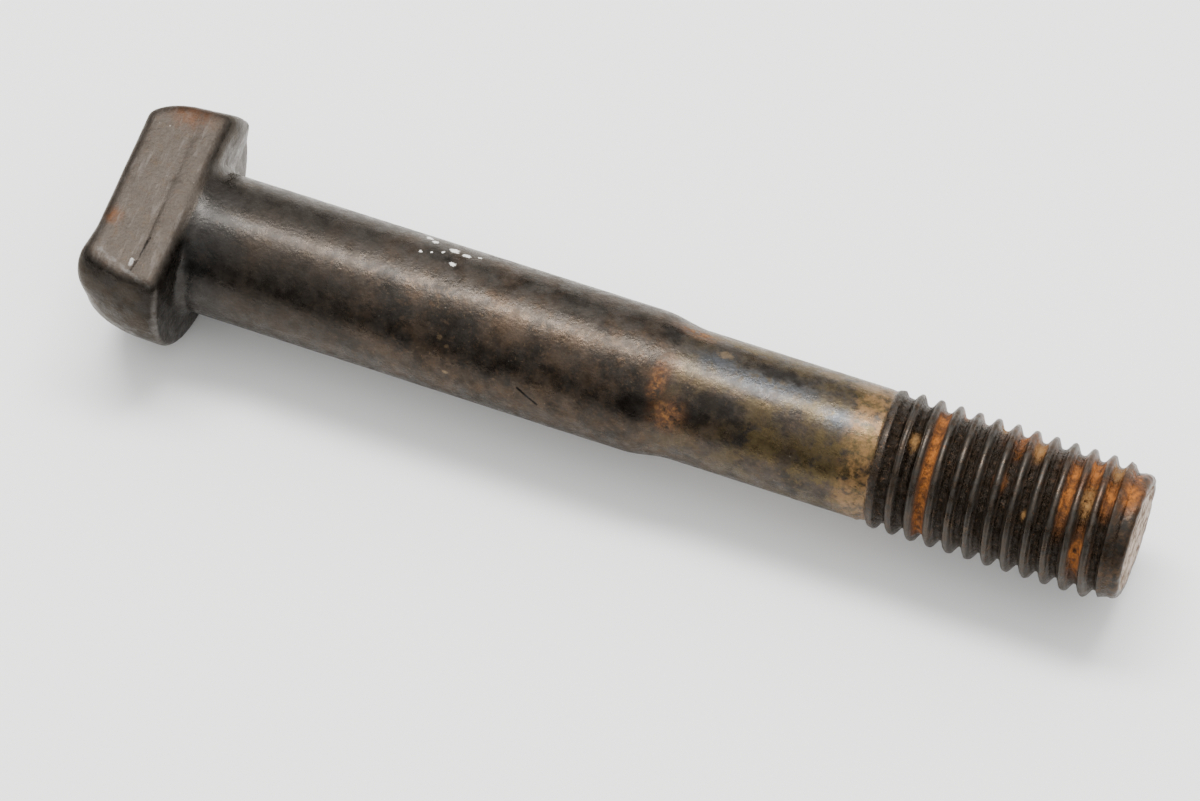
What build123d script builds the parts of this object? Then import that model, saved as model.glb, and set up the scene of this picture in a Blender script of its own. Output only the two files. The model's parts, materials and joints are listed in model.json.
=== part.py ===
from build123d import *
from math import ceil, radians, sqrt, tan
import os

# Connecting rod bolt: one forged and turned steel piece with a rolled thread.
# It clamps the cap of a connecting rod. The D-shaped head lies with its flat
# against a shoulder of the rod, so that the bolt can't turn with its nut.
#
# Frame: millimetres. The bolt's axis is X, from the head to the thread's end.
# The origin is on the axis, in the bearing face under the head. The head's
# flat looks along +Z. The bolt lies on the round side of its head.

# --- head: a forged disc that is set off from the shank's axis -------------
HEAD_DIAMETER = 15.2      # across the round side
HEAD_OFFSET = 0.9         # the disc's centre above the shank's axis
HEAD_HEIGHT = 5.5         # bearing face to outer face
CROWN_DEPTH = 4.3         # axial reach of the rounding at the outer face
CROWN_WIDTH = 1.6         # radial reach of the same rounding
RIM_CHAMFER = 0.2         # edge of the disc at the bearing face

# --- the flat: sheared from the bearing face towards the outer face --------
FLAT_RISE = 0.4           # the flat above the top of the fitted shank
ROLL_OVER = 0.95          # where the shear drew the bearing edge down
SHEARED_STRIP = 0.85      # bright strip that the shear burnished
TEAR_STEP = 0.08          # the torn face lies this much under the strip
FLAT_ROUNDING = 0.8       # worn edge of the torn face, on three sides

# --- shank ------------------------------------------------------------------
FITTED_DIAMETER = 9.2     # ground part that locates rod and cap
FITTED_LENGTH = 30.2
HEAD_BLEND = 0.45         # blend between shank and head
TAPER_LENGTH = 2.3        # blend from the fitted part to the waist
WAIST_DIAMETER = 8.4      # stretch part, also the blank of the thread
WAIST_LENGTH = 12.5       # from the blend to the first ridge of the thread

# --- rolled thread, M9 x 1.25, right-hand -----------------------------------
PITCH = 1.25
THREAD_DIAMETER = 8.95    # over the crests
ROOT_DIAMETER = 7.72      # at the bottom of the groove
CREST_WIDTH = 0.16
FLANK_ANGLE = 30.0        # each flank from the plane across the axis
THREAD_LENGTH = 16.55     # from the first ridge to the plain tip
RUN_IN = 1.6              # where the first ridge rises out of the waist
GROOVE_RUN_IN = 2.6       # where the groove reaches its full depth
GROOVE_RUN_OUT = 0.5      # where the groove ends at the tip
LEAD_LENGTH = 1.17        # cone on which the last ridges go down to the tip
THREAD_START_ANGLE = 196.4  # first ridge, from +Y towards +Z

# --- tip --------------------------------------------------------------------
TIP_DIAMETER = 7.95
TIP_LENGTH = 0.65
TIP_CHAMFER = 0.3

# --- places that follow from the sizes --------------------------------------
HEAD_RADIUS = HEAD_DIAMETER / 2
FITTED_RADIUS = FITTED_DIAMETER / 2
WAIST_RADIUS = WAIST_DIAMETER / 2
CREST_RADIUS = THREAD_DIAMETER / 2
ROOT_RADIUS = ROOT_DIAMETER / 2
TIP_RADIUS = TIP_DIAMETER / 2

FLAT_HEIGHT = FITTED_RADIUS + FLAT_RISE
TORN_HEIGHT = FLAT_HEIGHT - TEAR_STEP
TAPER_END = FITTED_LENGTH + TAPER_LENGTH
THREAD_START = TAPER_END + WAIST_LENGTH
THREAD_END = THREAD_START + THREAD_LENGTH
BOLT_END = THREAD_END + TIP_LENGTH

BURIED = 0.1              # the ridge starts this far under the groove's bottom
TRIMMED = 0.05            # the ridge is swept this much too high, then turned down
BEYOND = 1.0              # cutting bodies reach this far past the surface


def turned(profile):
    """Revolve a closed profile in the XZ plane about the bolt's axis."""
    return revolve(profile, Axis.X, 360)


def head_disc():
    """The forged disc with its deeply rounded outer edge, about its own centre."""
    side_end = -(HEAD_HEIGHT - CROWN_DEPTH)
    face_edge = HEAD_RADIUS - CROWN_WIDTH
    with BuildSketch(Plane.XZ) as profile:
        with BuildLine():
            Line((0, 0), (0, HEAD_RADIUS - RIM_CHAMFER))
            Line((0, HEAD_RADIUS - RIM_CHAMFER), (-RIM_CHAMFER, HEAD_RADIUS))
            Line((-RIM_CHAMFER, HEAD_RADIUS), (side_end, HEAD_RADIUS))
            EllipticalCenterArc(
                (side_end, face_edge), CROWN_DEPTH, CROWN_WIDTH, start_angle=90, arc_size=90
            )
            Line((-HEAD_HEIGHT, face_edge), (-HEAD_HEIGHT, 0))
            Line((-HEAD_HEIGHT, 0), (0, 0))
        make_face()
    return turned(profile.sketch)


def shear_off():
    """What the trimming tool takes away above the flat."""
    roll_end = -ROLL_OVER
    strip_end = roll_end - SHEARED_STRIP
    torn_start = strip_end - TEAR_STEP
    above = HEAD_OFFSET + HEAD_RADIUS + BEYOND
    with BuildSketch(Plane.XZ) as profile:
        with BuildLine():
            Line((BEYOND, FLAT_HEIGHT - ROLL_OVER), (0, FLAT_HEIGHT - ROLL_OVER))
            RadiusArc((0, FLAT_HEIGHT - ROLL_OVER), (roll_end, FLAT_HEIGHT), -ROLL_OVER)
            Line((roll_end, FLAT_HEIGHT), (strip_end, FLAT_HEIGHT))
            Polyline(
                (strip_end, FLAT_HEIGHT),
                (torn_start, TORN_HEIGHT),
                (-HEAD_HEIGHT - BEYOND, TORN_HEIGHT),
                (-HEAD_HEIGHT - BEYOND, above),
                (BEYOND, above),
                (BEYOND, FLAT_HEIGHT - ROLL_OVER),
            )
        make_face()
    return extrude(profile.sketch, HEAD_RADIUS + BEYOND, both=True)


def torn_face_edges(head):
    """The edges of the torn face, without the one at the sheared strip."""
    torn_start = -(ROLL_OVER + SHEARED_STRIP + TEAR_STEP)
    found = []
    for edge in head.edges():
        middle = edge @ 0.5
        is_behind_step = middle.X < torn_start - TEAR_STEP / 2
        is_on_face = abs(middle.Z - TORN_HEIGHT) < TEAR_STEP / 2
        if is_behind_step and is_on_face:
            found.append(edge)
    return found


def make_head():
    """The D-shaped head: the offset disc, sheared flat on one side."""
    head = Pos(0, 0, HEAD_OFFSET) * head_disc() - shear_off()
    return fillet(torn_face_edges(head), FLAT_ROUNDING)


def shank_profile():
    """Half section of fitted part, blend, waist, groove bottom and tip."""
    root_start = THREAD_START + GROOVE_RUN_IN
    root_end = THREAD_END - GROOVE_RUN_OUT
    inside = -HEAD_HEIGHT / 2
    with BuildSketch(Plane.XZ) as profile:
        with BuildLine():
            Polyline(
                (inside, 0),
                (inside, FITTED_RADIUS),
                (FITTED_LENGTH, FITTED_RADIUS),
                (TAPER_END, WAIST_RADIUS),
                (THREAD_START, WAIST_RADIUS),
                (root_start, ROOT_RADIUS),
                (root_end, ROOT_RADIUS),
                (THREAD_END, TIP_RADIUS),
                (BOLT_END - TIP_CHAMFER, TIP_RADIUS),
                (BOLT_END, TIP_RADIUS - TIP_CHAMFER),
                (BOLT_END, 0),
                close=True,
            )
        make_face()
    return profile.sketch


def thread_envelope():
    """What the ridges stay inside: they rise, run level and fade on the lead."""
    low = ROOT_RADIUS - 2 * BURIED
    rise = RUN_IN * (WAIST_RADIUS - low) / (CREST_RADIUS - WAIST_RADIUS)
    fall = LEAD_LENGTH * (TIP_RADIUS - low) / (CREST_RADIUS - TIP_RADIUS)
    with BuildSketch(Plane.XZ) as profile:
        with BuildLine():
            Polyline(
                (THREAD_START - rise, 0),
                (THREAD_START - rise, low),
                (THREAD_START + RUN_IN, CREST_RADIUS),
                (THREAD_END - LEAD_LENGTH, CREST_RADIUS),
                (THREAD_END + fall, low),
                (THREAD_END + fall, 0),
                close=True,
            )
        make_face()
    return turned(profile.sketch)


def ridge_turn():
    """One full turn of the ridge: a flanked profile that follows the helix."""
    foot = ROOT_RADIUS - BURIED
    top = CREST_RADIUS + TRIMMED
    spread = tan(radians(FLANK_ANGLE))
    foot_half = CREST_WIDTH / 2 + (CREST_RADIUS - foot) * spread
    top_half = CREST_WIDTH / 2 - TRIMMED * spread
    path = Helix(PITCH, PITCH, foot)
    section = Polyline(
        (foot, 0, -foot_half),
        (top, 0, -top_half),
        (top, 0, top_half),
        (foot, 0, foot_half),
        close=True,
    )
    face = Face(Wire(section.edges()))
    return sweep(face, path=Wire(path.edges()), is_frenet=True)


def thread_turns():
    """The ridge, turn after turn, each one trimmed to the thread's envelope."""
    turn = ridge_turn()
    envelope = thread_envelope()
    turns = []
    for index in range(ceil(THREAD_LENGTH / PITCH)):
        along = THREAD_START + index * PITCH
        seat = Plane(origin=(along, 0, 0), x_dir=(0, 1, 0), z_dir=(1, 0, 0))
        turns.append(seat * Rot(0, 0, THREAD_START_ANGLE) * turn & envelope)
    return turns


def junction_edges(bolt):
    """Where the fitted shank meets the underside of the head."""
    found = []
    for edge in bolt.edges():
        middle = edge @ 0.5
        from_axis = sqrt(middle.Y**2 + middle.Z**2)
        near_face = -ROLL_OVER < middle.X < HEAD_BLEND
        if near_face and abs(from_axis - FITTED_RADIUS) < 0.01:
            found.append(edge)
    return found


def make_bolt():
    """Head, shank and thread as the one solid that the real bolt is."""
    blank = make_head() + turned(shank_profile())
    blank = chamfer(junction_edges(blank), HEAD_BLEND)
    return blank.fuse(*thread_turns())


os.makedirs("parts", exist_ok=True)
bolt = make_bolt()
bolt.label = "bolt"
export_step(bolt, "parts/bolt.step")
print("bolt", round(bolt.volume, 2), bolt.bounding_box())
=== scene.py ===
"""Connecting rod bolt: D-shaped head, waisted shank and rolled thread, in oily, rusted steel."""

import json
import math
from types import SimpleNamespace

import bmesh
import bpy
from mathutils import Matrix, Vector

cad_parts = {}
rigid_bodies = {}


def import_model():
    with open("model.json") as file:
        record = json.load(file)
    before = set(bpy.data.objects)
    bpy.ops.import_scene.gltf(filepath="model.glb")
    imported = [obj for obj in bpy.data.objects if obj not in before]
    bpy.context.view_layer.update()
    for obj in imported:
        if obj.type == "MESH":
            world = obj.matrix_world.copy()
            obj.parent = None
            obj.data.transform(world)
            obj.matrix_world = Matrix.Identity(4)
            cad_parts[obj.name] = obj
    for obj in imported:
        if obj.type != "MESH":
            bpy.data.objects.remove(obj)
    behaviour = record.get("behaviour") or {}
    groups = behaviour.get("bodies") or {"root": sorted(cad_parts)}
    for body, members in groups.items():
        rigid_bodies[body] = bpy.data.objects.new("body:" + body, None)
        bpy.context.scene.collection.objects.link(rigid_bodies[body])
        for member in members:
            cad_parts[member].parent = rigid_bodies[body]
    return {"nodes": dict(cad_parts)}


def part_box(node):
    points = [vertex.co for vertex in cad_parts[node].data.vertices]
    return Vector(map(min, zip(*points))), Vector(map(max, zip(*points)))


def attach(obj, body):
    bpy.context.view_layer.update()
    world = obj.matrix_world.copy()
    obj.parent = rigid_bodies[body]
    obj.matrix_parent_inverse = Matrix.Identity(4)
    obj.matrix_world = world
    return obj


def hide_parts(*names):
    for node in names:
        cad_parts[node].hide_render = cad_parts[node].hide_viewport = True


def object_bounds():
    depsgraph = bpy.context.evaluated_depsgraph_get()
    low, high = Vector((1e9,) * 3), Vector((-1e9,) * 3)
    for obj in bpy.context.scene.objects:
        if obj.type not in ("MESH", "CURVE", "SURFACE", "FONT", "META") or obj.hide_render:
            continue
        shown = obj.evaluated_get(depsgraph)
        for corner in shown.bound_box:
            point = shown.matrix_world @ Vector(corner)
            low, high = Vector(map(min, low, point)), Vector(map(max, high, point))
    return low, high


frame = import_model()
cad_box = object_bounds()

bl_info = {
    "name": "Connecting Rod Bolt",
    "version": (1, 0, 0),
    "blender": (4, 5, 0),
    "location": "3D View > Sidebar > Rod Bolt",
    "description": "Models a used connecting rod bolt round its CAD solid and lights it",
    "category": "Object",
}

# The bolt is modelled in millimetres along X, and scaled to metres when it is finished.
MM = 1000.0
FULL_TURN = 2.0 * math.pi

# The head
HEAD_OFFSET = 0.9  # its centre above the shank's axis
TEAR_STEP = 0.08  # the torn flat lies this much under the head's highest strip
FLAT_HEIGHT = cad_box[1][2] * MM - TEAR_STEP

# The blanks, and where they meet
HEAD_CUT = 1.0  # the forged head ends here, a little way down the body
HEAD_SPARE = 0.8  # what the head's blank is longer by until it is smoothed
THREAD_SEAM = 43.6  # the rolled length starts here, in the plain waist
SEAM_GAP = 0.35  # the shank stops this far short of each neighbour, and a band bridges it
SHANK_START, SHANK_END = HEAD_CUT + SEAM_GAP, THREAD_SEAM - SEAM_GAP
TAPER_EASE = 0.4  # the taper is rounded off this far past both its ends

# The thread
FLANK_ANGLE = math.radians(30.0)
CREST_ROUNDING, ROOT_ROUNDING = 0.10, 0.13
TURNS_WOUND = 17  # more than the bolt has, so that both ends can be cut off
TURNS_SPARE = 2  # of these, how many lie before the first crest
RUN_IN, GROOVE_RUN_IN, GROOVE_RUN_OUT = 1.6, 2.6, 0.5
GUIDE_START, GUIDE_END = 42.6, 64.0  # closed ends of the two guide bodies, clear of the thread
GUIDE_STEPS = 256  # facets round a guide body
# The guides pass this far outside the full crests and grooves, and leave those as they are
CREST_CLEARANCE, ROOT_CLEARANCE = 0.005, 0.01

# The tip's edge is rolled over in steps: how far along, and how far in from the tip's radius
TIP_STEPS = ((0.12, 0.01), (0.16, 0.07), (0.10, 0.18), (0.04, 0.32))
END_RINGS = 9  # from the rolled edge to the middle of the end face
END_HOLLOW = 0.012  # how much deeper each ring lies than the one outside it


# ---------------------------------------------------------------- hand tools


def start_afresh():
    """Leaves edit mode with nothing selected."""
    if bpy.context.object and bpy.context.object.mode != "OBJECT":
        bpy.ops.object.mode_set(mode="OBJECT")
    bpy.ops.object.select_all(action="DESELECT")


def take(piece):
    """Makes one piece the only one selected."""
    start_afresh()
    piece.select_set(True)
    bpy.context.view_layer.objects.active = piece


def edit(piece):
    take(piece)
    bpy.ops.object.mode_set(mode="EDIT")


def leave_edit():
    bpy.ops.object.mode_set(mode="OBJECT")


def pick_all():
    bpy.ops.mesh.select_all(action="SELECT")


def pick(piece, wanted):
    """Selects the vertices that wanted(place) is true for, in edit mode."""
    bpy.ops.mesh.select_mode(type="VERT")
    bpy.ops.mesh.select_all(action="DESELECT")
    mesh = bmesh.from_edit_mesh(piece.data)
    for vertex in mesh.verts:
        if wanted(vertex.co):
            vertex.select_set(True)
    mesh.select_flush(True)
    bmesh.update_edit_mesh(piece.data)


def tidy_faces(seam=0.002):
    """Merges doubles and turns every face outwards, in edit mode."""
    pick_all()
    bpy.ops.mesh.remove_doubles(threshold=seam)
    bpy.ops.mesh.normals_make_consistent(inside=False)


def use(piece, kind, **settings):
    """Adds one modifier and applies it."""
    take(piece)
    modifier = piece.modifiers.new(kind.title(), kind)
    for name, value in settings.items():
        setattr(modifier, name, value)
    bpy.ops.object.modifier_apply(modifier=modifier.name)


def drawn_line(name, start, moves):
    """Starts a wire at one vertex and pulls it along, one move at a time."""
    start_afresh()
    bpy.ops.mesh.primitive_plane_add(size=0.1, location=(0, 0, 0))
    line = bpy.context.object
    line.name = name
    bpy.ops.object.mode_set(mode="EDIT")
    pick_all()
    bpy.ops.mesh.merge(type="CENTER")
    bpy.ops.transform.translate(value=start)
    for move in moves:
        bpy.ops.mesh.extrude_vertices_move(TRANSFORM_OT_translate={"value": move})
    return line


def steps_between(places):
    return [Vector(b) - Vector(a) for a, b in zip(places, places[1:])]


def turned_body(name, places, steps):
    """Spins a drawn outline, given as (along, radius) pairs, round the bolt's axis."""
    outline = [Vector((along, 0.0, radius)) for along, radius in places]
    body = drawn_line(name, outline[0], steps_between(outline))
    pick_all()
    bpy.ops.mesh.spin(steps=steps, angle=FULL_TURN, center=(0, 0, 0), axis=(1, 0, 0))
    tidy_faces()
    return body


def closed_guide(name, places):
    """A closed body that a surface is drawn in to or out to."""
    guide = turned_body(name, places, GUIDE_STEPS)
    pick_all()
    bpy.ops.mesh.fill_holes(sides=0)
    tidy_faces()
    leave_edit()
    return guide


def nudge(piece, middle, move, reach):
    """Pulls the surface at one place by hand, and what lies within reach follows softly."""
    edit(piece)
    middle = Vector(middle)
    near = min((vertex.co - middle).length for vertex in piece.data.vertices)
    pick(piece, lambda place: (place - middle).length < near + 0.15)
    bpy.ops.transform.translate(value=move, use_proportional_edit=True,
                                proportional_edit_falloff="SMOOTH", proportional_size=reach)
    leave_edit()


def discard(*pieces):
    for piece in pieces:
        bpy.data.objects.remove(piece, do_unlink=True)


def uneven(piece, name, grain, depth, region):
    """Moves the surface in and out along its normals by a cloudy pattern, in one named region."""
    pattern = bpy.data.textures.new(name, "CLOUDS")
    pattern.noise_scale = grain
    pattern.noise_depth = 2
    use(piece, "DISPLACE", texture=pattern, texture_coords="LOCAL", strength=depth,
        mid_level=0.5, vertex_group=region)


def mark_region(piece, name, wanted):
    """Keeps the vertices that wanted(place) is true for as a vertex group."""
    edit(piece)
    pick(piece, wanted)
    group = piece.vertex_groups.new(name=name)
    piece.vertex_groups.active_index = group.index
    bpy.ops.object.vertex_group_assign()
    leave_edit()


def off_axis(place):
    return math.hypot(place.y, place.z)


def ease(share):
    """Turns an even run from 0 to 1 into a smooth one."""
    share = min(max(share, 0.0), 1.0)
    return share * share * (3 - 2 * share)


# ---------------------------------------------------------------- the bolt's shape


# Corners of the forging that lie off their true place: where, how they are pulled, and the reach
PULLED_CORNERS = (
    ((-5.3, -5.6, 3.2), (-0.40, -0.20, 0.0), 2.6),
    ((-0.2, 6.9, 2.6), (0.25, 0.30, 0.0), 2.4),
)
# Where the head is worn smooth: the region, which places are in it, and the rounds of smoothing
WORN_REGIONS = (
    ("worn step", lambda place: -2.4 < place.x < -1.3 and place.y > -0.8 and place.z > 4.6, 14),
    ("rolled edge", lambda place: -1.75 < place.x < 0.75 and place.z > 3.2, 40),
    ("worn corners", lambda place: place.x > -2.8 and abs(place.y) > 4.3 and place.z > 2.4, 55),
)
# Unevenness: what it is, the region that has it, the size of its grain and its depth
UNEVENNESS = (
    ("forging swell", "head", 3.2, 0.055),
    ("forging grain", "head", 0.7, 0.012),
    ("shank pits", "shank", 0.55, 0.03),
    ("crest wear", "crests", 0.8, 0.07),
    ("end face", "end", 0.9, 0.14),
)


def forged_head(sizes):
    """The head, taken from the CAD solid, skinned evenly and softened as a forging is."""
    start_afresh()
    node = frame["nodes"]["bolt"]
    node.select_set(True)
    bpy.context.view_layer.objects.active = node
    bpy.ops.object.duplicate()
    head = bpy.context.object
    head.name = "head_blank"
    bpy.ops.object.parent_clear(type="CLEAR_KEEP_TRANSFORM")
    bpy.ops.transform.resize(value=(MM, MM, MM), center_override=(0, 0, 0))
    bpy.ops.object.transform_apply(location=True, rotation=True, scale=True)
    bpy.ops.mesh.customdata_custom_splitnormals_clear()
    edit(head)
    pick_all()
    bpy.ops.mesh.remove_doubles(threshold=0.002)
    bpy.ops.mesh.bisect(plane_co=(HEAD_CUT + HEAD_SPARE, 0, 0), plane_no=(1, 0, 0),
                        use_fill=True, clear_outer=True, threshold=0.0001)
    tidy_faces()
    use(head, "REMESH", mode="VOXEL", voxel_size=sizes.head_skin)
    use(head, "SMOOTH", factor=0.5, iterations=4)
    edit(head)
    pick_all()
    bpy.ops.mesh.bisect(plane_co=(HEAD_CUT, 0, 0), plane_no=(1, 0, 0),
                        clear_outer=True, threshold=0.0001)
    leave_edit()
    for corner, move, reach in PULLED_CORNERS:
        nudge(head, corner, move, reach)
    for name, wanted, rounds in WORN_REGIONS:
        mark_region(head, name, wanted)
        use(head, "SMOOTH", factor=0.5, iterations=rounds, vertex_group=name)
    return head


def thread_outline(sizes):
    """One pitch of the thread's outline, from root to root over the crest."""
    pitch, root, crest = sizes.pitch, sizes.root_radius, sizes.crest_radius
    flank = (crest - root) * math.tan(FLANK_ANGLE)
    half_root = pitch / 2 - sizes.crest_width / 2 - flank
    places = [(0, root), (half_root, root), (half_root + flank, crest),
              (half_root + flank + sizes.crest_width, crest), (pitch - half_root, root),
              (pitch, root)]
    outline = [Vector((along, 0.0, radius)) for along, radius in places]
    line = drawn_line("thread_blank", outline[0], steps_between(outline))
    pick(line, lambda place: place.z > root + 0.1)
    bpy.ops.mesh.bevel(offset=CREST_ROUNDING, affect="VERTICES", segments=3)
    pick(line, lambda place: abs(place.z - root) < 0.01 and 0.05 < place.x < pitch - 0.05)
    bpy.ops.mesh.bevel(offset=ROOT_ROUNDING, affect="VERTICES", segments=3)
    return line


def rolled_thread(sizes):
    """The thread, wound as a right-hand screw and drawn in and out to its run-outs."""
    thread = thread_outline(sizes)
    pick_all()
    bpy.ops.mesh.screw(steps=sizes.steps_per_turn, turns=TURNS_WOUND,
                       center=(0, 0, 0), axis=(1, 0, 0))
    pick_all()
    bpy.ops.transform.resize(value=(-1, 1, 1), center_override=(0, 0, 0))
    # The winding starts on the upper side, which is a quarter turn on from +Y.
    seat = sizes.first_crest - sizes.pitch / 4 - TURNS_SPARE * sizes.pitch
    bpy.ops.transform.translate(value=(seat, 0, 0))
    tidy_faces(0.001)
    for along, keep_outer in ((THREAD_SEAM, True), (sizes.lead_end, False)):
        pick_all()
        bpy.ops.mesh.bisect(plane_co=(along, 0, 0), plane_no=(1, 0, 0), threshold=0.0001,
                            clear_inner=keep_outer, clear_outer=not keep_outer)
    trim_thread(thread, sizes)
    return thread


def trim_thread(thread, sizes):
    """Crests rise out of the waist and fall at the lead; grooves deepen and shoal with them."""
    waist, tip, start, end = (sizes.waist_radius, sizes.lead_radius, sizes.thread_start,
                              sizes.lead_end)
    crest, root = sizes.crest_radius + CREST_CLEARANCE, sizes.root_radius - ROOT_CLEARANCE
    outer = closed_guide("crest_guide", (
        (GUIDE_START, waist), (start, waist), (start + RUN_IN, crest),
        (sizes.lead_start, crest), (end, tip), (GUIDE_END, tip)))
    inner = closed_guide("root_guide", (
        (GUIDE_START, waist), (start, waist), (start + GROOVE_RUN_IN, root),
        (end - GROOVE_RUN_OUT, root), (end, tip), (GUIDE_END, tip)))
    for guide, side in ((outer, "INSIDE"), (inner, "OUTSIDE")):
        use(thread, "SHRINKWRAP", target=guide, wrap_method="NEAREST_SURFACEPOINT",
            wrap_mode=side)
    discard(outer, inner)


def shank_radius(sizes, along):
    """Radius of the fitted body, the taper or the waist."""
    taper = sizes.waist_start - sizes.body_end
    share = ease((along - sizes.body_end + TAPER_EASE) / (taper + 2 * TAPER_EASE))
    return sizes.body_radius + (sizes.waist_radius - sizes.body_radius) * share


def turned_shank(sizes):
    """Fitted body, taper and waist, as a tube with its rings close enough to carry pitting."""
    whole = SHANK_END - SHANK_START
    count = round(whole / sizes.ring_gap)
    stations = [SHANK_START + whole * ring / count for ring in range(count + 1)]
    places = [(along, shank_radius(sizes, along)) for along in stations]
    shank = turned_body("shank_blank", places, sizes.steps_per_turn)
    leave_edit()
    return shank


def join_up(pieces, name):
    """Joins the blanks into one piece and closes the gaps between their open ends."""
    start_afresh()
    for piece in pieces:
        piece.select_set(True)
    bolt = pieces[0]
    bpy.context.view_layer.objects.active = bolt
    bpy.ops.object.join()
    bolt.name = name
    bolt.data.name = name
    edit(bolt)
    for near, far in ((HEAD_CUT, SHANK_START), (SHANK_END, THREAD_SEAM)):
        pick(bolt, lambda place: min(abs(place.x - near), abs(place.x - far)) < 0.01
             and off_axis(place) > 1.0)
        pick_open_edges(bolt)
        bpy.ops.mesh.bridge_edge_loops()
    return bolt


def pick_open_edges(piece):
    """Of the selected vertices' edges, keeps the ones on an open end."""
    mesh = bmesh.from_edit_mesh(piece.data)
    ends = [edge for edge in mesh.edges if edge.is_boundary and all(v.select for v in edge.verts)]
    bpy.ops.mesh.select_mode(type="EDGE")
    bpy.ops.mesh.select_all(action="DESELECT")
    for edge in ends:
        edge.select_set(True)
    bmesh.update_edit_mesh(piece.data)


def close_tip(bolt, sizes):
    """Draws the last ring out to the plain tip, rolls its edge over and closes the end face."""
    end, radius = sizes.lead_end, sizes.lead_radius
    pick(bolt, lambda place: place.x > end - 0.3)
    pick_open_edges(bolt)
    bpy.ops.transform.resize(value=(0, 1, 1), center_override=(end, 0, 0))
    rolled = sum(step for step, drop in TIP_STEPS)
    rings = [(sizes.bolt_end - rolled - end, radius)]
    rings += [(step, radius - drop) for step, drop in TIP_STEPS]
    face = rings[-1][1]
    rings += [(-END_HOLLOW, face * (1 - ring / END_RINGS)) for ring in range(1, END_RINGS)]
    now = radius
    for step, wide in rings:
        bpy.ops.mesh.extrude_edges_move(TRANSFORM_OT_translate={"value": (step, 0, 0)})
        bpy.ops.transform.resize(value=(1, wide / now, wide / now), center_override=(0, 0, 0))
        now = wide
    bpy.ops.mesh.extrude_edges_move(TRANSFORM_OT_translate={"value": (0, 0, 0)})
    bpy.ops.mesh.merge(type="CENTER")
    tidy_faces()


def wear_surface(bolt, sizes):
    """Forging unevenness on the head, shallow pitting on the shank, worn and dinged crests."""
    head_up_to = 0.6
    crests_from, crests_above = THREAD_SEAM + 1, 4.25
    mark_region(bolt, "head", lambda place: place.x < head_up_to)
    mark_region(bolt, "shank", lambda place: place.x >= head_up_to)
    mark_region(bolt, "crests", lambda place: place.x > crests_from
                and off_axis(place) > crests_above)
    mark_region(bolt, "end", lambda place: place.x > sizes.lead_end + 0.1)
    for name, region, grain, depth in UNEVENNESS:
        uneven(bolt, name, grain, depth, region)


def settle(piece):
    """Brings a finished piece to metres at the origin, smooth between its edges."""
    take(piece)
    bpy.ops.transform.resize(value=(1 / MM, 1 / MM, 1 / MM), center_override=(0, 0, 0))
    bpy.ops.object.transform_apply(location=True, rotation=True, scale=True)
    bpy.ops.object.shade_smooth_by_angle(angle=math.radians(55))
    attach(piece, "root")


# ---------------------------------------------------------------- settings


def length(name, default, note):
    return bpy.props.FloatProperty(name=name, description=note, default=default,
                                   min=0.0, unit="LENGTH", precision=5)


class BoltShape(bpy.types.PropertyGroup):
    """Sizes of the shown bolt, in metres along X from the head's bearing face."""

    body_radius: length("Body radius", 0.0046, "Radius of the fitted body")
    body_end: length("Body end", 0.0302, "Where the fitted body ends and the taper starts")
    waist_start: length("Waist start", 0.0325, "Where the taper ends")
    waist_radius: length("Waist radius", 0.0042, "Radius of the waist")
    thread_start: length("Thread start", 0.045, "Where the first ridge rises from the waist")
    pitch: length("Pitch", 0.00125, "Distance from crest to crest")
    crest_radius: length("Crest radius", 0.004475, "Radius over the thread's crests")
    crest_width: length("Crest width", 0.00023, "Width of the worn flat on a crest")
    root_radius: length("Root radius", 0.00386, "Radius at the bottom of the groove")
    first_crest: length("First crest", 0.045568, "A crest's place on the side towards +Y")
    lead_start: length("Lead start", 0.06038, "Where the crests start to fall towards the tip")
    lead_end: length("Lead end", 0.06155, "Where the thread ends")
    lead_radius: length("Lead radius", 0.003975, "Radius of the plain tip")
    bolt_end: length("Bolt end", cad_box[1][0], "Where the tip's end face is")
    head_skin: length("Head skin", 0.00013, "Size of the facets of the forged head")
    ring_gap: length("Ring gap", 0.00036, "Distance between the rings of the shank")
    steps_per_turn: bpy.props.IntProperty(name="Steps per turn", default=112, min=24, max=180,
                                          description="Facets round the shank and thread")


def in_millimetres(shape):
    """A plain copy of the sizes, with its lengths in millimetres."""
    lengths = [name for name in BoltShape.__annotations__ if name != "steps_per_turn"]
    sizes = {name: getattr(shape, name) * MM for name in lengths}
    return SimpleNamespace(**sizes, steps_per_turn=shape.steps_per_turn)


def colour(name, default, note):
    return bpy.props.FloatVectorProperty(name=name, description=note, size=4, subtype="COLOR",
                                         min=0.0, max=1.0, default=(*default, 1.0))


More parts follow.
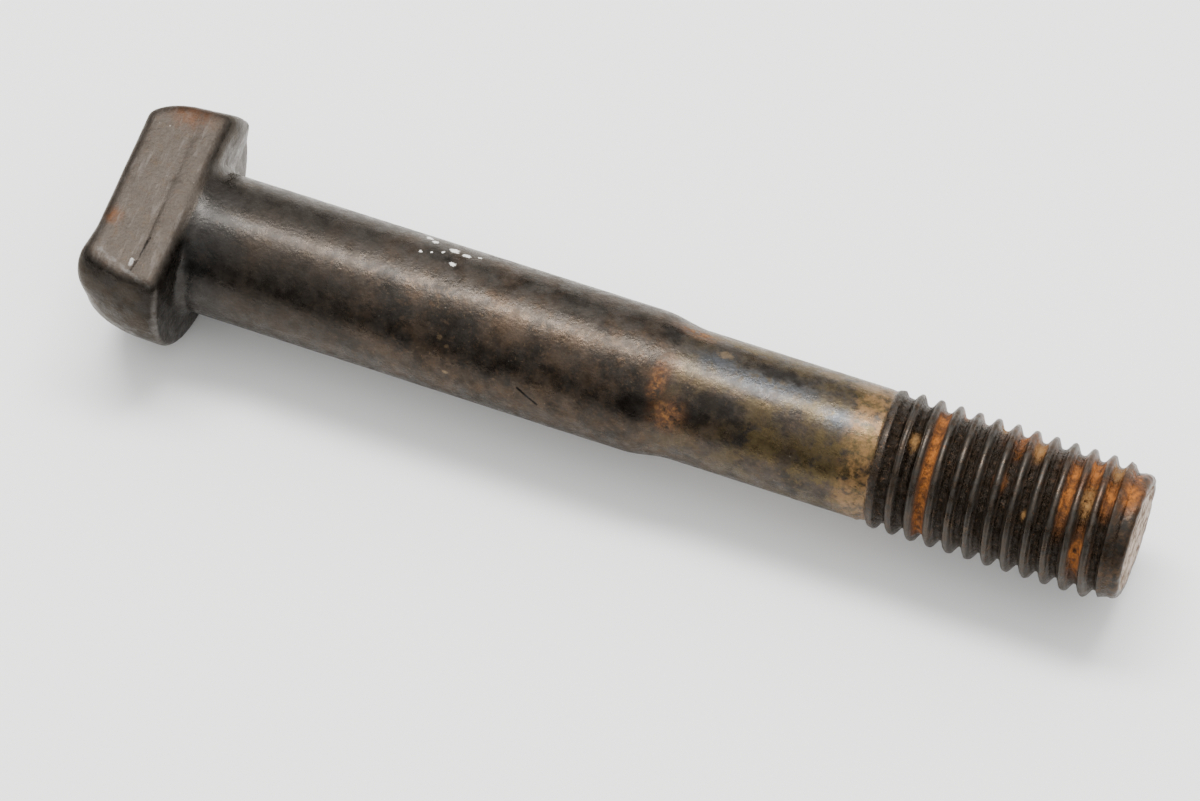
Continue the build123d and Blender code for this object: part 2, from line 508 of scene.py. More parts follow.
class BoltFinish(bpy.types.PropertyGroup):
    """Colours of the shown bolt."""

    oxide: colour("Oxide", (0.0150, 0.0122, 0.0098), "Dark oxide and dried oil")
    brown: colour("Brown", (0.054, 0.036, 0.0235), "Old brown rust under the oil")
    film: colour("Grey film", (0.046, 0.040, 0.034), "Handled steel with a thin grey film")
    silver: colour("Silver film", (0.044, 0.046, 0.049), "Cleaner steel on top of the waist")
    # Bare steel: the rubbed edges and the nick, and also painted glints in the thread's grooves.
    bare_steel_and_glints: colour("Bare steel", (0.20, 0.19, 0.18), "Edges rubbed bright")
    # Blue-black: laid darker on the shank beside the head, towards -Y.
    blue_black: colour("Blued film", (0.013, 0.014, 0.0145), "Blue-black film beside the head")
    # Drab: the even skin near the head, and also painted shade on the head's rolled-over edge.
    drab_and_shade: colour("Drab", (0.023, 0.0185, 0.0145), "Even grey-brown skin near the head")
    russet: colour("Russet", (0.030, 0.0235, 0.0175), "Warm dark skin of the head's round side")
    worn: colour("Worn spots", (0.105, 0.095, 0.085), "Where the forged skin is worn through")
    forged: colour("Forged skin", (0.046, 0.038, 0.0315), "Skin of the head's flat")
    rust: colour("Rust", (0.075, 0.026, 0.0065), "Brown rust")
    orange: colour("Orange rust", (0.30, 0.098, 0.014), "Fresh orange rust")
    sand: colour("Sand", (0.17, 0.118, 0.066), "Pale dusty specks")
    gap: colour("Gap", (0.0018, 0.0015, 0.0013), "Bottom of a scratch or a tear")
    # Gap: the dark bottom of the score and of the crack, where it is also painted shadow along the
    # torn step.
    gold: colour("Golden rust", (0.205, 0.112, 0.042), "Golden brown rust in front of the thread")
    tan: colour("Tan rust", (0.21, 0.108, 0.034), "Powdery tan rust")
    olive: colour("Olive", (0.080, 0.057, 0.025), "Yellow-brown varnish of old oil")
    dirt: colour("Dirt", (0.0160, 0.0112, 0.0076), "Black dirt packed in the grooves")
    chalk: colour("Chalk", (0.62, 0.60, 0.56), "White specks")
    broken: colour("End face", (0.46, 0.37, 0.30), "Pale end face of the thread")


# ---------------------------------------------------------------- materials


class Board:
    """One node tree, with short ways to add nodes to it and join them."""

    def __init__(self, tree):
        self.tree = tree

    def node(self, kind, inputs=(), **settings):
        node = self.tree.nodes.new(kind)
        for name, value in settings.items():
            setattr(node, name, value)
        for name, value in dict(inputs).items():
            if isinstance(value, bpy.types.NodeSocket):
                self.tree.links.new(value, node.inputs[name])
            else:
                node.inputs[name].default_value = value
        return node

    def number(self, operation, *values):
        node = self.node("ShaderNodeMath", enumerate(values), operation=operation)
        return node.outputs[0]

    def vector(self, operation, *values, out=0):
        node = self.node("ShaderNodeVectorMath", enumerate(values), operation=operation)
        return node.outputs[out]

    def between(self, value, low, high, start=0.0, end=1.0):
        """Runs smoothly from start at low to end at high."""
        node = self.node("ShaderNodeMapRange", (
            ("Value", value), ("From Min", low), ("From Max", high),
            ("To Min", start), ("To Max", end)), interpolation_type="SMOOTHSTEP")
        return node.outputs["Result"]

    def cloud(self, place, size, detail, rough):
        """Soft noise with clouds of one size."""
        node = self.node("ShaderNodeTexNoise", (
            ("Vector", place), ("Scale", 1.0 / size), ("Detail", detail), ("Roughness", rough)))
        return node.outputs["Fac"]

    def paint(self, mask, below, above):
        """Lays the colour above over the one below, where the mask is."""
        node = self.node("ShaderNodeMix", ((0, mask), (6, below), (7, above)),
                         data_type="RGBA")
        return node.outputs[2]

    def value_by(self, mask, off, on):
        """Goes from one value where the mask is off to another where it is on."""
        return self.between(mask, 0.0, 1.0, off, on)

    def faint(self, mask, share):
        """A mask at a share of its strength."""
        return self.number("MULTIPLY", mask, share)

    def combine(self, operation, masks):
        found = masks[0]
        for mask in masks[1:]:
            found = self.number(operation, found, mask)
        return found

    def most(self, *masks):
        """The strongest of several masks."""
        return self.combine("MAXIMUM", masks)

    def meet(self, *masks):
        """Where all of several masks are."""
        return self.combine("MULTIPLY", masks)

    def use(self, group, **inputs):
        node = self.node("ShaderNodeGroup", node_tree=group)
        for name, value in inputs.items():
            socket = node.inputs[name.replace("_", " ")]
            if isinstance(value, bpy.types.NodeSocket):
                self.tree.links.new(value, socket)
            else:
                socket.default_value = value
        return node.outputs[0]


def new_group(name, inputs, output):
    """A shader node group with named inputs and one output."""
    tree = bpy.data.node_groups.new(name, "ShaderNodeTree")
    for title, kind, default in inputs:
        socket = tree.interface.new_socket(title, in_out="INPUT", socket_type=kind)
        socket.default_value = default
    tree.interface.new_socket(output[0], in_out="OUTPUT", socket_type=output[1])
    board = Board(tree)
    return board, board.node("NodeGroupInput").outputs, board.node("NodeGroupOutput").inputs


NUMBER, ARROW = "NodeSocketFloat", "NodeSocketVector"


def stain_group():
    """A soft-edged blot round a centre, with its own reach along each axis."""
    board, given, result = new_group("stain", (
        ("Place", ARROW, (0, 0, 0)), ("Centre", ARROW, (0, 0, 0)), ("Reach", ARROW, (1, 1, 1)),
        ("Strength", NUMBER, 1.0)), ("Mask", NUMBER))
    away = board.vector("SUBTRACT", given["Place"], given["Centre"])
    away = board.vector("LENGTH", board.vector("DIVIDE", away, given["Reach"]), out=1)
    mask = board.between(away, 1.9, 0.2)
    board.tree.links.new(board.number("MULTIPLY", mask, given["Strength"]), result[0])
    return board.tree


def ragged_group():
    """Shifts places by a noise, so that whatever is drawn by them gets ragged edges."""
    board, given, result = new_group("ragged edge", (
        ("Place", ARROW, (0, 0, 0)), ("Size", NUMBER, 1.0), ("Amount", NUMBER, 0.5)),
        ("Place", ARROW))
    noise = board.node("ShaderNodeTexNoise", (
        ("Vector", given["Place"]), ("Detail", 4.0), ("Roughness", 0.6)))
    board.tree.links.new(board.number("DIVIDE", 1.0, given["Size"]), noise.inputs["Scale"])
    shift = board.vector("SUBTRACT", noise.outputs["Color"], (0.5, 0.5, 0.5))
    scale = board.node("ShaderNodeVectorMath", ((0, shift), ("Scale", given["Amount"])),
                       operation="SCALE")
    moved = board.vector("ADD", given["Place"], scale.outputs[0])
    board.tree.links.new(moved, result[0])
    return board.tree


def blotch_group():
    """Cloudy blotches: a noise cut between two levels."""
    board, given, result = new_group("blotches", (
        ("Place", ARROW, (0, 0, 0)), ("Size", NUMBER, 1.0), ("Detail", NUMBER, 5.0),
        ("Low", NUMBER, 0.45), ("High", NUMBER, 0.6), ("Lift", NUMBER, 0.0)), ("Mask", NUMBER))
    noise = board.node("ShaderNodeTexNoise", (
        ("Vector", given["Place"]), ("Detail", given["Detail"]), ("Roughness", 0.65)))
    board.tree.links.new(board.number("DIVIDE", 1.0, given["Size"]), noise.inputs["Scale"])
    lifted = board.number("ADD", noise.outputs["Fac"], given["Lift"])
    mask = board.between(lifted, given["Low"], given["High"])
    board.tree.links.new(mask, result[0])
    return board.tree


def scratch_group():
    """A thin line from one place to another."""
    board, given, result = new_group("scratch", (
        ("Place", ARROW, (0, 0, 0)), ("From", ARROW, (0, 0, 0)), ("To", ARROW, (1, 0, 0)),
        ("Width", NUMBER, 0.1)), ("Mask", NUMBER))
    away = board.vector("SUBTRACT", given["Place"], given["From"])
    line = board.vector("SUBTRACT", given["To"], given["From"])
    share = board.number("DIVIDE", board.vector("DOT_PRODUCT", away, line, out=1),
                         board.vector("DOT_PRODUCT", line, line, out=1))
    share = board.node("ShaderNodeClamp", (("Value", share),)).outputs[0]
    foot = board.node("ShaderNodeVectorMath", ((0, line), ("Scale", share)), operation="SCALE")
    gap = board.vector("DISTANCE", away, foot.outputs[0], out=1)
    gap = board.number("DIVIDE", gap, given["Width"])
    board.tree.links.new(board.between(gap, 1.0, 0.4), result[0])
    return board.tree


# Stains by kind: the place along the bolt, the degrees round it from the +Y side over the top,
# and the reach along and across, in millimetres.
STAINS = {
    "chalk": (
        (14.3, 66.5, 0.10, 0.10), (14.25, 41, 0.20, 0.26), (14.75, 46, 0.16, 0.20),
        (14.95, 63.5, 0.08, 0.08), (15.6, 59, 0.10, 0.11), (16.2, 51.5, 0.32, 0.24),
        (17.05, 53.5, 0.26, 0.16), (16.55, 69.5, 0.22, 0.15), (17.85, 50, 0.10, 0.10)),
    "tan specks": (
        (17.45, 131.5, 0.18, 0.14), (18.0, 137, 0.16, 0.12), (18.2, 160.5, 0.16, 0.14),
        (34.75, 68.5, 0.50, 0.35), (43.5, 52.5, 0.9, 0.7), (41.4, 48, 0.7, 0.5)),
    "black": (
        (31.2, 65, 0.9, 0.8), (35.5, 119, 1.6, 1.0), (38.3, 70.5, 2.4, 0.6),
        (30.7, 137, 1.2, 1.0)),
    "orange": (
        (32.6, 50, 1.3, 0.65), (31.45, 112, 0.48, 1.2), (32.55, 137.5, 1.0, 1.0)),
    "flat rust": (
        (-2.55, 39.5, 1.2, 0.9), (-4.65, 117.5, 0.5, 0.5)),
    "olive": (
        (43.1, 137.5, 2.4, 1.8), (44.6, 112.5, 1.3, 1.8), (44.3, 64, 1.3, 1.2),
        (38.9, 137, 1.6, 1.2), (36.0, 41, 5.0, 1.0), (42.0, 35, 3.0, 1.0)),
    "grey": (
        (43.05, 95.5, 1.3, 0.8), (37.6, 83, 3.4, 0.8), (34.6, 77.5, 1.4, 0.6)),
    "thread tan": (
        (52.5, 30, 0.5, 0.8), (55.2, 55.5, 0.55, 0.9), (59.05, 98, 0.45, 0.8),
        (55.65, 126.5, 0.22, 0.3), (47.7, 93, 0.35, 0.5), (60.2, 51.5, 0.5, 0.8)),
    "thread rust": (
        (59.4, 65.5, 1.8, 2.0), (54.4, 49, 1.2, 1.4), (61.3, 54, 0.9, 1.8),
        (50.6, 26.5, 2.0, 0.8)),
    "thread orange": (
        (57.75, 98.5, 0.55, 1.9), (57.65, 76.5, 0.5, 0.9), (58.9, 59, 0.8, 1.1),
        (60.25, 88.5, 0.5, 1.0), (59.3, 149, 0.6, 1.6), (61.45, 77, 0.6, 1.0),
        (53.55, 104.5, 0.35, 0.6), (55.3, 56.5, 0.5, 0.7), (54.1, 48, 0.4, 0.6)),
}
# Scratches: from where to where, and how wide, in millimetres.
SCRATCHES = {
    # The crack lies along the torn step of the head's flat and is partly painted shadow.
    "crack_and_step_shadow": ((-2.15, -6.0, 4.9), (-1.8, -3.4, 4.95), 0.12),
    "nick": ((-2.34, -5.42, 4.92), (-2.28, -5.12, 4.92), 0.17),
    "arris": ((-4.64, -5.06, 4.8), (-0.6, -6.5, 4.75), 0.24),
    "score": ((22.95, -4.11, 2.07), (24.30, -4.41, 1.30), 0.11),
}
SEEN_FROM = math.radians(114.5)  # the count of ridges jumps on the side away from here

# Zones of the finish: where each fades in from and where it is full, in millimetres
HEAD_ZONE = (0.1, -0.3)  # along the bolt
BEARING_ZONE = (-0.5, -0.15)
# The painted shade towards the head's rolled-over edge, along the bolt
ROLLED_SHADE_ZONE = (-1.75, -0.7)
FLAT_ZONE = (4.35, 4.9)  # above the axis
LOW_ZONE = (0.9, -1.0)  # across the bolt, on the side towards -Y
CALM_ZONE = (16.0, 7.0)  # along the bolt
WAIST_ZONE = (31.0, 33.0)
CREST_ZONE = (4.16, 4.36)  # from the axis
GROOVE_ZONE = (4.22, 3.95)
BEFORE_TIP = (61.6, 61.2)  # along the bolt
END_ZONE = (61.9, 62.0)
RIM_ZONE = (7.2, 7.5)  # from the head's centre
# The same along the helix, in ridges counted from the first one
THREAD_ZONE = (-0.26, -0.08)
RING_ZONE = (-2.3, -1.2)
PACKED_ZONE = (2.10, 1.90)


def surface_place(kind, along, degrees, sizes):
    """The place on the surface that a stain of one kind sits on."""
    turn = math.radians(degrees)
    if kind.startswith("thread"):
        radius = sizes.root_radius
    elif kind.startswith("flat"):
        radius = FLAT_HEIGHT / math.sin(turn)
    else:
        radius = shank_radius(sizes, along)
    return (along, radius * math.cos(turn), radius * math.sin(turn))


def groove_count(board, x, y, z, sizes):
    """Counts ridges along the helix: whole on a crest, and a half more in each groove."""
    turn_y = board.number("ADD", board.number("MULTIPLY", y, math.cos(SEEN_FROM)),
                          board.number("MULTIPLY", z, math.sin(SEEN_FROM)))
    turn_z = board.number("SUBTRACT", board.number("MULTIPLY", z, math.cos(SEEN_FROM)),
                          board.number("MULTIPLY", y, math.sin(SEEN_FROM)))
    turned = board.number("ADD", board.number("ARCTAN2", turn_z, turn_y), SEEN_FROM)
    turned = board.number("DIVIDE", turned, FULL_TURN)
    along = board.number("DIVIDE", board.number("SUBTRACT", x, sizes.first_crest), sizes.pitch)
    return board.number("SUBTRACT", along, turned)


class Skin(Board):
    """The bolt's node tree, with its places in millimetres, its zones and its colour so far."""

    def __init__(self, tree, finish, sizes):
        super().__init__(tree)
        self.finish, self.sizes = finish, sizes
        self.stain, self.ragged = stain_group(), ragged_group()
        self.blotches, self.scratch = blotch_group(), scratch_group()
        self.colour = None
        self.dull, self.crumbly = [], []
        self.find_places()
        self.find_zones()

    def find_places(self):
        """True places, and two kinds that are shifted about to make ragged edges."""
        where = self.node("ShaderNodeTexCoord").outputs["Object"]
        scale = self.node("ShaderNodeVectorMath", ((0, where), ("Scale", MM)),
                          operation="SCALE")
        self.place = scale.outputs[0]
        self.torn_place = self.ragged_place(0.5, 0.5)
        self.x, self.y, self.z = self.split(self.place)
        self.loose_x, self.loose_y, _ = self.split(self.ragged_place(1.6, 1.5))
        self.torn_x = self.split(self.torn_place)[0]
        self.radius = self.distance(self.y, self.z)

    def find_zones(self):
        """Masks of the head, its flat, the low side, and the thread's crests and grooves."""
        self.on_head = self.between(self.torn_x, *HEAD_ZONE)
        self.on_flat = self.meet(self.on_head, self.between(self.z, *FLAT_ZONE))
        self.low_side = self.between(self.loose_y, *LOW_ZONE)
        self.count = groove_count(self, self.x, self.y, self.z, self.sizes)
        # The count once more, with a ragged edge
        self.wound = self.number("ADD", self.count,
                                 self.number("SUBTRACT", self.torn_x, self.x))
        self.on_thread = self.between(self.wound, *THREAD_ZONE)
        self.crest = self.meet(self.on_thread, self.between(self.radius, *CREST_ZONE))
        root = self.meet(self.on_thread, self.between(self.radius, *GROOVE_ZONE),
                         self.between(self.x, *BEFORE_TIP))
        packed = self.meet(self.on_thread, self.between(self.wound, *PACKED_ZONE),
                           self.between(self.radius, 4.42, 4.30))
        self.groove = self.most(root, packed)
        self.crumbly.append(self.groove)

    def ragged_place(self, size, amount):
        """The place, shifted by up to about half the amount in clouds of one size."""
        return self.use(self.ragged, Place=self.place, Size=size, Amount=amount)

    def split(self, place):
        return self.node("ShaderNodeSeparateXYZ", (("Vector", place),)).outputs

    def distance(self, one, other):
        """The length of the two legs' hypotenuse."""
        return self.number("SQRT", self.number(
            "ADD", self.number("POWER", one, 2.0), self.number("POWER", other, 2.0)))

    def blot(self, size, low, high, lift=0.0):
        """Cloudy blotches of one size all over the bolt."""
        return self.use(self.blotches, Place=self.place, Size=size, Detail=6.0,
                        Low=low, High=high, Lift=lift)

    def near(self, kind, seat):
        """Round blots at the stains of one kind."""
        return self.most(*(
            self.use(self.stain, Place=seat, Reach=(along, across, across),
                     Centre=surface_place(kind, x, degrees, self.sizes))
            for x, degrees, along, across in STAINS[kind]))

    def crowded(self, kind, size, spread, low, high, seat):
        """Blotches that crowd together at the stains of one kind."""
        return self.blot(size, low, high, self.faint(self.near(kind, seat), spread))

    def soft(self, kind, size, low, high):
        """The stains of one kind with ragged soft edges, broken up by blotches."""
        return self.meet(self.near(kind, self.torn_place), self.blot(size, low, high))

    def scratched(self, name, seat):
        """One of the scratches by name."""
        start, end, width = SCRATCHES[name]
        return self.use(self.scratch, Place=seat, From=start, To=end, Width=width)

    def lay(self, mask, colour, share=1.0):
        """Lays one more colour over the skin, where the mask is, at a share of its strength."""
        mask = mask if share == 1.0 else self.faint(mask, share)
        self.colour = self.paint(mask, self.colour, colour)

    def crust(self, mask, share=1.0):
        """Notes that the skin is dull and not metallic where the mask is."""
        self.dull.append(mask if share == 1.0 else self.faint(mask, share))


def paint_body(skin):
    """Oxide, brown rust under oil and grey film in blotches, calmer towards the head."""
    finish, blot, low_side = skin.finish, skin.blot, skin.low_side
    skin.colour = skin.paint(blot(2.6, 0.38, 0.66), finish.oxide, finish.brown)
    # The side towards -Y is painted darker and more blotched, with oxide, brown and sand, and the
    # side towards +Y lighter, with more grey film.
    skin.lay(skin.meet(blot(1.1, 0.46, 0.70), low_side), finish.oxide)
    skin.lay(skin.meet(blot(1.7, 0.30, 0.62), skin.value_by(low_side, 0.9, 0.30)), finish.film)
    skin.lay(skin.meet(blot(0.42, 0.50, 0.70), skin.value_by(low_side, 0.3, 0.9)), finish.brown)
    skin.lay(skin.meet(blot(0.26, 0.58, 0.76), low_side), finish.sand, 0.45)
    skin.lay(skin.between(skin.loose_x, *CALM_ZONE), finish.drab_and_shade, 0.72)


def paint_head(skin):
    """Warm dark round side, bearing face, and a darker blue-black film on the shank beside the
    head, towards -Y.
    """
    finish, blot = skin.finish, skin.blot
    # The shank beside the head, on the side towards -Y, is painted a darker blue-black.
    beside = skin.meet(skin.between(skin.loose_x, 4.5, 1.0), skin.between(skin.loose_y, 3.0, -0.5))
    skin.lay(skin.meet(beside, blot(0.8, 0.2, 0.5)), finish.blue_black, 0.6)
    skin.lay(skin.on_head, skin.paint(blot(1.4, 0.36, 0.66), finish.oxide, finish.russet), 0.85)
    bearing = skin.meet(skin.on_head, skin.between(skin.x, *BEARING_ZONE))
    skin.lay(bearing, finish.film, 0.65)


def paint_flat(skin):
    """The sheared flat: forged skin, wiped and worn spots, rust, painted shade towards the
    rolled-over edge, the crack with partly painted shadow along the torn step, and the nick.
    """
    finish, blot, on_flat = skin.finish, skin.blot, skin.on_flat
    skin.lay(skin.meet(on_flat, blot(1.2, 0.1, 0.5)), finish.forged)
    skin.lay(skin.meet(on_flat, blot(0.55, 0.46, 0.74)), finish.brown, 0.45)
    skin.lay(skin.meet(on_flat, blot(0.11, 0.62, 0.74)), finish.worn, 0.5)
    skin.lay(skin.soft("flat rust", 0.5, 0.2, 0.6), finish.rust, 0.62)
    # Painted shade: drab darkens the flat towards its rolled-over edge, where the surface turns
    # away from the light.
    rolled = skin.meet(skin.on_head, skin.between(skin.x, *ROLLED_SHADE_ZONE),
                       skin.between(skin.z, 3.4, 4.2))
    skin.lay(rolled, finish.drab_and_shade, 0.3)
    # Partly painted shadow: the dark ragged line along the lower half of the torn step is a tear
    # with brown in it, and also the step's shadow.
    crack_and_step_shadow = skin.faint(skin.scratched("crack_and_step_shadow", skin.torn_place), 0.75)
    skin.lay(skin.meet(crack_and_step_shadow, blot(0.4, 0.30, 0.55)), finish.gap)
    combed = skin.vector("MULTIPLY", skin.place, (2.6, 0.5, 1.0))
    wiped = skin.meet(on_flat, skin.between(skin.cloud(combed, 0.9, 5.0, 0.62), 0.50, 0.68))
    skin.lay(wiped, finish.worn, 0.3)
    from_centre = skin.distance(skin.y, skin.number("SUBTRACT", skin.z, HEAD_OFFSET))
    rim = skin.meet(skin.between(from_centre, *RIM_ZONE), skin.between(skin.torn_x, -0.5, -0.1))
    edges = skin.faint(skin.most(rim, skin.scratched("arris", skin.torn_place)), 0.22)
    nick = skin.scratched("nick", skin.torn_place)
    skin.lay(skin.most(skin.meet(edges, blot(0.5, 0.30, 0.62)), nick), finish.bare_steel_and_glints)


def paint_waist(skin):
    """Varnish and cleaner steel on the waist, black and orange spots, and a golden ring."""
    finish, blot = skin.finish, skin.blot
    waist = skin.meet(skin.between(skin.loose_x, *WAIST_ZONE), blot(1.6, 0.40, 0.62))
    thicker = skin.between(skin.loose_x, 33.0, 44.0, 0.35, 0.8)
    skin.lay(skin.meet(waist, thicker), finish.olive)
    skin.lay(skin.crowded("olive", 0.9, 0.45, 0.74, 0.90, skin.place), finish.olive)
    skin.lay(skin.soft("grey", 0.5, 0.25, 0.55), finish.silver)
    ring = skin.meet(skin.between(skin.wound, *RING_ZONE), blot(0.5, 0.36, 0.60))
    skin.lay(ring, finish.gold, 0.72)
    skin.crust(ring, 0.45)
    skin.lay(skin.crowded("black", 0.9, 0.5, 0.66, 0.96, skin.place), finish.oxide, 0.85)
    patch = skin.soft("orange", 0.45, 0.30, 0.56)
    ochre = skin.paint(0.55, finish.orange, finish.tan)
    rusty = skin.paint(skin.meet(patch, blot(0.3, 0.42, 0.62)), finish.rust, ochre)
    skin.lay(patch, rusty, 0.66)
    skin.crust(patch, 0.8)
    spattered = skin.meet(skin.between(skin.wound, -1.2, -0.2),
                          skin.between(skin.wound, 0.4, 0.1), blot(0.22, 0.56, 0.66))
    skin.lay(spattered, finish.dirt, 0.75)


def paint_thread(skin):
    """Dark grooves packed with dirt, worn crests, dull brown rust in patches, and painted glints.
    """
    finish, blot, on_thread = skin.finish, skin.blot, skin.on_thread
    skin.lay(on_thread, finish.brown)
    skin.lay(skin.meet(on_thread, blot(0.5, 0.38, 0.60)), finish.oxide)
    skin.lay(skin.groove, finish.dirt)
    skin.lay(skin.meet(skin.groove, blot(0.3, 0.50, 0.70)), finish.brown)
    rusted = skin.meet(on_thread, skin.near("thread rust", skin.torn_place),
                       blot(0.9, 0.30, 0.56))
    skin.lay(rusted, skin.paint(blot(0.35, 0.45, 0.68), finish.rust, finish.orange))
    skin.crust(rusted, 0.6)
    paint_fresh_rust(skin)
    handled = skin.between(skin.wound, 0.4, 2.4, 0.35, 0.68)
    skin.lay(skin.meet(skin.crest, blot(0.7, 0.25, 0.6), handled), finish.film)
    skin.lay(skin.meet(on_thread, blot(0.3, 0.60, 0.74)), finish.rust)
    # Painted glints: small bright specks of bare-steel colour over the grooves and lower flanks
    # stand in for light glinting off the oily dirt.
    painted_glints = skin.meet(on_thread, blot(0.09, 0.70, 0.76), skin.between(skin.radius, 4.45, 4.3))
    skin.lay(painted_glints, finish.bare_steel_and_glints, 0.8)


def paint_fresh_rust(skin):
    """Orange rust along the third groove and in blooms near the tip, with tan powder on it."""
    finish, blot = skin.finish, skin.blot
    off_third = skin.number("ABSOLUTE", skin.number("SUBTRACT", skin.count, 2.5))
    third = skin.meet(skin.between(off_third, 0.46, 0.20), skin.between(skin.loose_y, 3.2, 2.2),
                      skin.between(skin.z, -1.5, -0.5), blot(0.5, 0.22, 0.44))
    blooms = skin.soft("thread orange", 0.5, 0.25, 0.5)
    fresh = skin.most(third, skin.meet(blooms, skin.between(skin.radius, 4.5, 4.1)))
    brighter = skin.meet(skin.most(skin.between(off_third, 0.34, 0.10), blooms),
                         skin.between(skin.cloud(skin.place, 0.75, 6.0, 0.62), 0.38, 0.60))
    skin.lay(fresh, skin.paint(brighter, finish.rust, finish.orange))
    skin.crust(fresh)
    powder = skin.meet(skin.soft("thread tan", 0.4, 0.30, 0.54),
                       skin.between(skin.radius, 4.5, 4.05))
    skin.lay(powder, finish.tan)
    skin.crust(powder)
    skin.crumbly += [skin.faint(fresh, 0.5), powder]


def paint_all_over(skin):
    """Fine grain of dirt and worn spots, and on the end face its own pale rusty break."""
    finish, blot = skin.finish, skin.blot
    skin.lay(blot(0.17, 0.46, 0.72), finish.oxide, 0.3)
    along = skin.between(skin.loose_x, 14.0, 26.0, 0.35, 1.0)
    skin.lay(skin.meet(along, blot(0.14, 0.62, 0.78)), finish.gold, 0.3)
    on_end = skin.meet(skin.between(skin.x, *END_ZONE), skin.between(skin.radius, 3.5, 3.3))
    skin.lay(on_end, skin.paint(blot(1.2, 0.40, 0.64), finish.broken, finish.sand))
    skin.crust(on_end)
    towards_rim = skin.between(skin.radius, 2.4, 3.4, 0.0, 0.10)
    skin.lay(skin.meet(on_end, blot(0.6, 0.50, 0.62, towards_rim)), finish.rust, 0.8)


def paint_specks(skin):
    """Tan and chalky specks on the body and waist, and one thin scratch."""
    tan = skin.crowded("tan specks", 0.3, 0.5, 0.64, 0.96, skin.place)
    skin.lay(tan, skin.finish.sand, 0.6)
    chalk = skin.crowded("chalk", 0.3, 0.6, 0.68, 0.92, skin.ragged_place(0.16, 0.34))
    skin.lay(chalk, skin.finish.chalk)
    skin.crust(chalk)
    skin.lay(skin.scratched("score", skin.place), skin.finish.gap)


def steel_and_gloss(skin):
    """How metallic, how rough and how oily the surface is."""
    dull = skin.most(*skin.dull)
    steely = skin.most(skin.value_by(skin.blot(0.9, 0.35, 0.65), 0.72, 0.97), skin.groove)
    metal = skin.meet(skin.value_by(dull, 1.0, 0.0), steely)
    rough = skin.between(skin.cloud(skin.place, 0.7, 6.0, 0.65), 0.35, 0.65, 0.23, 0.42)
    rough = skin.most(rough, skin.value_by(dull, 0.0, 0.85),
                      skin.value_by(skin.on_flat, 0.0, 0.48))
    oil = skin.value_by(skin.most(dull, skin.on_head, skin.on_thread), 0.12, 0.0)
    wiped_off = skin.meet(skin.between(skin.loose_x, 13.0, 19.0),
                          skin.between(skin.loose_x, 32.5, 30.5))
    return metal, rough, skin.meet(oil, skin.value_by(wiped_off, 1.0, 0.3))


def fine_relief(skin):
    """The steel's fine grain, and coarse crumbs of dirt and rust in the grooves."""
    crumbs = skin.meet(skin.most(*skin.crumbly), skin.cloud(skin.place, 0.2, 4.0, 0.7))
    grain = skin.cloud(skin.place, 0.24, 5.0, 0.6)
    relief = skin.number("ADD", skin.faint(grain, 0.7), skin.faint(crumbs, 4.0))
    bump = skin.node("ShaderNodeBump", (
        ("Strength", 1.0), ("Distance", 0.04 / MM), ("Height", relief)))
    return bump.outputs[0]


def bolt_finish(finish, sizes):
    """Dark oiled steel, brighter on crests and edges, with rust, varnish, dirt and specks."""
    material = bpy.data.materials.new("oiled and rusted forged steel")
    material.use_nodes = True
    skin = Skin(material.node_tree, finish, sizes)
    for paint in (paint_body, paint_head, paint_flat, paint_waist, paint_thread,
                  paint_all_over, paint_specks):
        paint(skin)
    metal, rough, oil = steel_and_gloss(skin)
    surface = skin.tree.nodes["Principled BSDF"]
    surface.inputs["Specular IOR Level"].default_value = 0.35
    surface.inputs["Specular Tint"].default_value = (0.72, 0.69, 0.66, 1.0)
    surface.inputs["Coat Roughness"].default_value = 0.25
    for name, socket in (("Base Color", skin.colour), ("Metallic", metal), ("Roughness", rough),
                         ("Coat Weight", oil), ("Normal", fine_relief(skin))):
        skin.tree.links.new(socket, surface.inputs[name])
    return material


# ---------------------------------------------------------------- operators


class ROD_BOLT_OT_forge(bpy.types.Operator):
    """Models the whole bolt: head, shank, rolled thread and tip, as one closed piece"""

    bl_idname = "rod_bolt.forge"
    bl_label = "Forge the bolt"

    def execute(self, context):
        sizes = in_millimetres(context.scene.rod_bolt_shape)
        thread = rolled_thread(sizes)
        shank = turned_shank(sizes)
        head = forged_head(sizes)
        bolt = join_up([shank, thread, head], "rod_bolt")
        close_tip(bolt, sizes)
        wear_surface(bolt, sizes)
        bolt.data.materials.clear()
        bolt.data.materials.append(bolt_finish(context.scene.rod_bolt_finish, sizes))
        settle(bolt)
        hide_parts("bolt")
        return {"FINISHED"}


class ROD_BOLT_OT_stage(bpy.types.Operator):
    """Sets the pale floor, the soft studio lights and the camera"""

    bl_idname = "rod_bolt.stage"
    bl_label = "Set the stage"

    def execute(self, context):
        add_floor()
        add_lights()
        add_camera()
        return {"FINISHED"}


# ---------------------------------------------------------------- stage


def add_floor():
    """A wide pale sheet under the bolt, which rests on its rounded side."""
    start_afresh()
    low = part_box("bolt")[0].z
    bpy.ops.mesh.primitive_plane_add(size=3.0, location=(0, 0, low))
    floor = bpy.context.object
    floor.name = "floor"
    edit(floor)
    pick_all()
    bpy.ops.mesh.subdivide(number_cuts=3)
    leave_edit()
    bpy.ops.object.transform_apply(location=True, rotation=True, scale=True)
    paper = bpy.data.materials.new("pale paper")
    paper.use_nodes = True
    surface = paper.node_tree.nodes["Principled BSDF"]
    surface.inputs["Base Color"].default_value = (0.93, 0.93, 0.92, 1.0)
    surface.inputs["Roughness"].default_value = 0.9
    surface.inputs["Specular IOR Level"].default_value = 0.1
    floor.data.materials.append(paper)


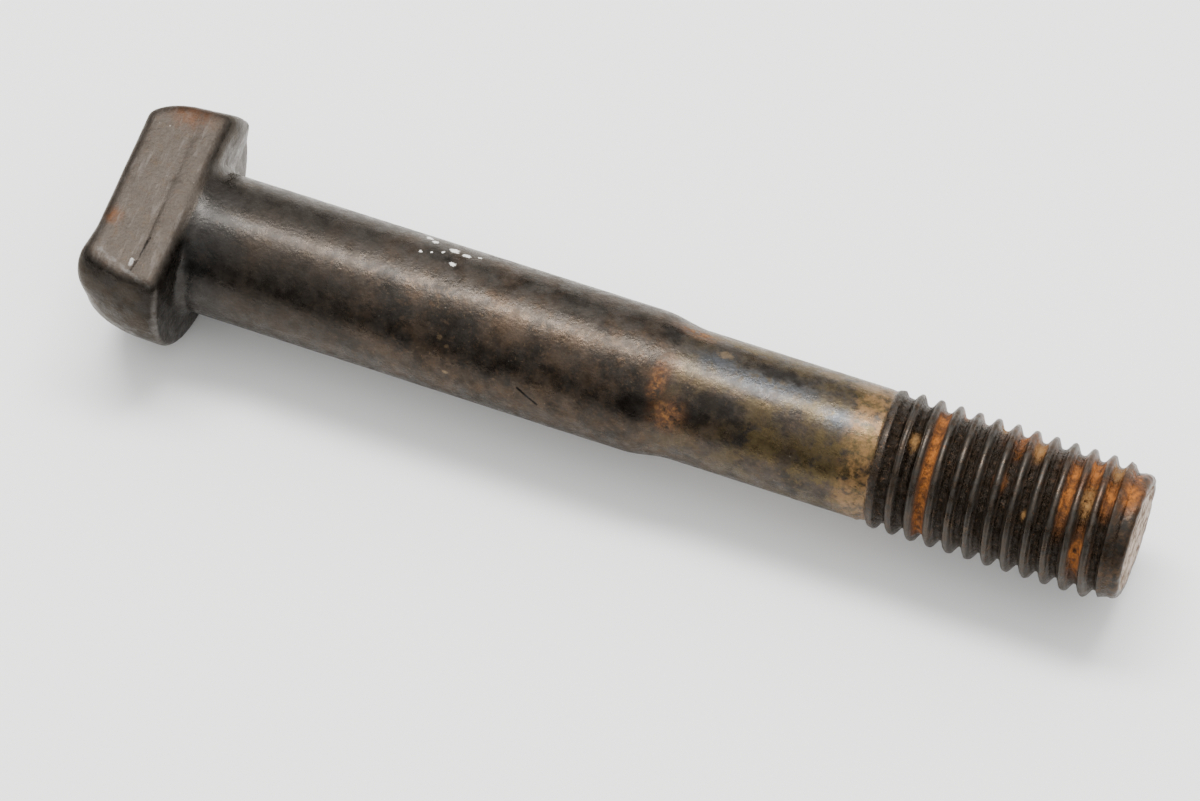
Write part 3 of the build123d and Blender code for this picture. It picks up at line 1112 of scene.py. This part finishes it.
def softbox(name, direction, distance, size, power):
    """A square soft light that faces the middle of the bolt."""
    middle = Vector((0.028, 0.0, 0.0))
    towards = Vector(direction).normalized()
    bpy.ops.object.light_add(type="AREA", location=middle + towards * distance)
    lamp = bpy.context.object
    lamp.name = name
    lamp.data.shape = "RECTANGLE"
    lamp.data.size, lamp.data.size_y = size
    lamp.data.energy = power
    lamp.rotation_mode = "QUATERNION"
    lamp.rotation_quaternion = towards.to_track_quat("Z", "Y")


def add_lights():
    """A long softbox overhead for the streak of light, in a white room, brighter above."""
    start_afresh()
    softbox("overhead softbox", (-0.087, 0.323, 0.942), 0.6, (0.5, 0.13), 5.8)
    world = bpy.data.worlds.new("white room")
    world.use_nodes = True
    board = Board(world.node_tree)
    towards = board.node("ShaderNodeTexCoord").outputs["Generated"]
    height = board.vector("DOT_PRODUCT", towards, (0.0, 0.27, 0.963), out=1)
    strength = board.between(height, 0.1, 1.0, 0.25, 2.3)
    background = world.node_tree.nodes["Background"]
    background.inputs["Color"].default_value = (1, 1, 1, 1)
    board.tree.links.new(strength, background.inputs["Strength"])
    bpy.context.scene.world = world


def add_camera():
    """The camera looks down on the bolt from in front of its thread."""
    start_afresh()
    bpy.ops.object.camera_add(location=(0.098185, -0.15761, 0.340916))
    camera = bpy.context.object
    right = Vector((0.93567, 0.35128, -0.03337))
    up = Vector((-0.30055, 0.84291, 0.44628))
    back = Vector((0.18490, -0.40754, 0.89427))
    camera.rotation_mode = "QUATERNION"
    camera.rotation_quaternion = Matrix((right, up, back)).transposed().to_quaternion()
    camera.data.lens = 183.0
    camera.data.sensor_width = 36.0
    camera.data.clip_start, camera.data.clip_end = 0.01, 10.0
    bpy.context.scene.camera = camera


# ---------------------------------------------------------------- add-on


class ROD_BOLT_PT_sidebar(bpy.types.Panel):
    """Lists the steps in the 3D view's sidebar"""

    bl_idname = "ROD_BOLT_PT_sidebar"
    bl_label = "Connecting Rod Bolt"
    bl_space_type = "VIEW_3D"
    bl_region_type = "UI"
    bl_category = "Rod Bolt"

    def draw(self, context):
        layout = self.layout
        for group in (context.scene.rod_bolt_shape, context.scene.rod_bolt_finish):
            box = layout.box()
            for name in group.__annotations__:
                box.prop(group, name)
        layout.operator("rod_bolt.forge")
        layout.operator("rod_bolt.stage")


CLASSES = (BoltShape, BoltFinish, ROD_BOLT_OT_forge, ROD_BOLT_OT_stage, ROD_BOLT_PT_sidebar)


def register():
    for kind in CLASSES:
        bpy.utils.register_class(kind)
    bpy.types.Scene.rod_bolt_shape = bpy.props.PointerProperty(type=BoltShape)
    bpy.types.Scene.rod_bolt_finish = bpy.props.PointerProperty(type=BoltFinish)


def unregister():
    del bpy.types.Scene.rod_bolt_finish
    del bpy.types.Scene.rod_bolt_shape
    for kind in reversed(CLASSES):
        bpy.utils.unregister_class(kind)


def main():
    """Registers the add-on, and models and lights the bolt."""
    register()
    bpy.ops.rod_bolt.forge()
    bpy.ops.rod_bolt.stage()


if __name__ == "__main__":
    main()
